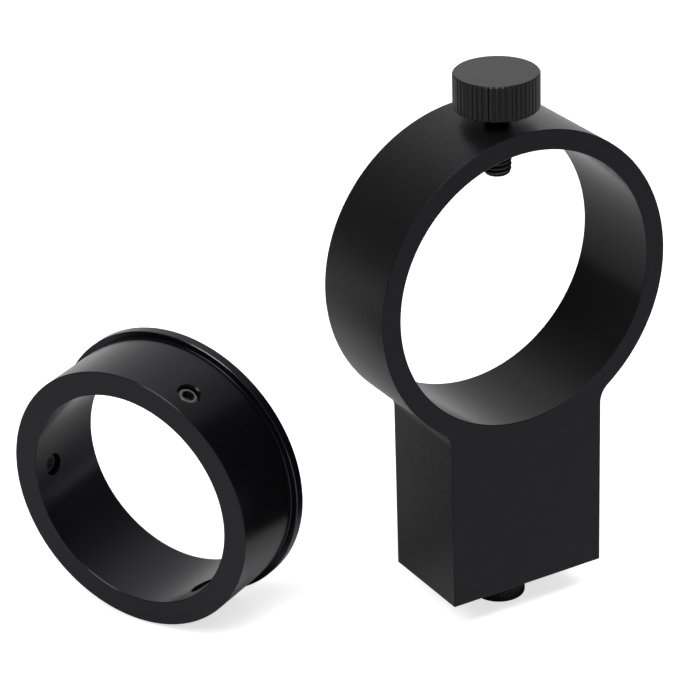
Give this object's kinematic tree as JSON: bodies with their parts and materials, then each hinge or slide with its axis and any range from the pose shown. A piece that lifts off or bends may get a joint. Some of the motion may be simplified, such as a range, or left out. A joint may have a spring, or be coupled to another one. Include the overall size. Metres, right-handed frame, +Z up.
{
  "type": "microscope focusing bracket",
  "caption": "Clamp ring on a stem block that bolts to a microscope stand and grips a round lens body with a knurled thumb screw, with a flanged reducing ring for slimmer bodies.",
  "frame": {"origin": "middle of the plan of the bracket and its reducing ring, on the surface that they stand on", "axes": "+Z up from the mounting screw's head to the clamp knob, +Y along the bracket's bore from its front face to its back face, +X to the right seen from the front, away from the reducing ring"},
  "size_m": [0.1006, 0.0656, 0.1006],
  "materials": {
    "blasted_black": "bead blasted and black anodised, satin",
    "turned_black": "turned and black anodised, semi-gloss",
    "knob_black": "knurled and black anodised, satin",
    "black_steel": "black oxide, semi-gloss"
  },
  "bodies": {
    "bracket": {"ring_bracket": "blasted_black"},
    "mounting_screw": {"mounting_screw": "black_steel"},
    "clamp_screw": {"clamp_screw": "black_steel"},
    "thumb_knob": {"thumb_knob": "knob_black"},
    "adapter": {"adapter_ring": "turned_black"},
    "set_screw_1": {"set_screw_1": "black_steel"},
    "set_screw_2": {"set_screw_2": "black_steel"},
    "set_screw_3": {"set_screw_3": "black_steel"}
  },
  "joints": [
    {"name": "knob_turn", "type": "hinge", "parent": "clamp_screw", "child": "thumb_knob", "pos_m": [0.02168, -0.02386, 0.09415], "axis": [0, 0, -1], "range_deg": [-2970, 675]},
    {"name": "clamp_travel", "type": "slide", "parent": "bracket", "child": "clamp_screw", "axis": [0, 0, -1], "range_m": [-0.0066, 0.0015]},
    {"name": "mounting_screw_turn", "type": "hinge", "parent": "bracket", "child": "mounting_screw", "pos_m": [0.02168, -0.02321, 0], "axis": [0, 0, 1], "range_deg": [-4970, 427]},
    {"name": "adapter_lift", "type": "slide", "parent": "bracket", "child": "adapter", "axis": [0, 0, 1], "range_m": [0, 0.11]},
    {"name": "set_screw_1_travel", "type": "slide", "parent": "adapter", "child": "set_screw_1", "axis": [-0.186, 0.4303, -0.8833], "range_m": [-0.0006, 0.0024]},
    {"name": "set_screw_2_travel", "type": "slide", "parent": "adapter", "child": "set_screw_2", "axis": [-0.2642, 0.4619, 0.8467], "range_m": [-0.0006, 0.0024]},
    {"name": "set_screw_3_travel", "type": "slide", "parent": "adapter", "child": "set_screw_3", "axis": [0.4501, -0.8922, 0.0366], "range_m": [-0.0006, 0.0024]}
  ],
  "couplings": [
    {"joint": "clamp_travel", "follows": "knob_turn", "m_per_rad": 0.00012732}
  ]
}
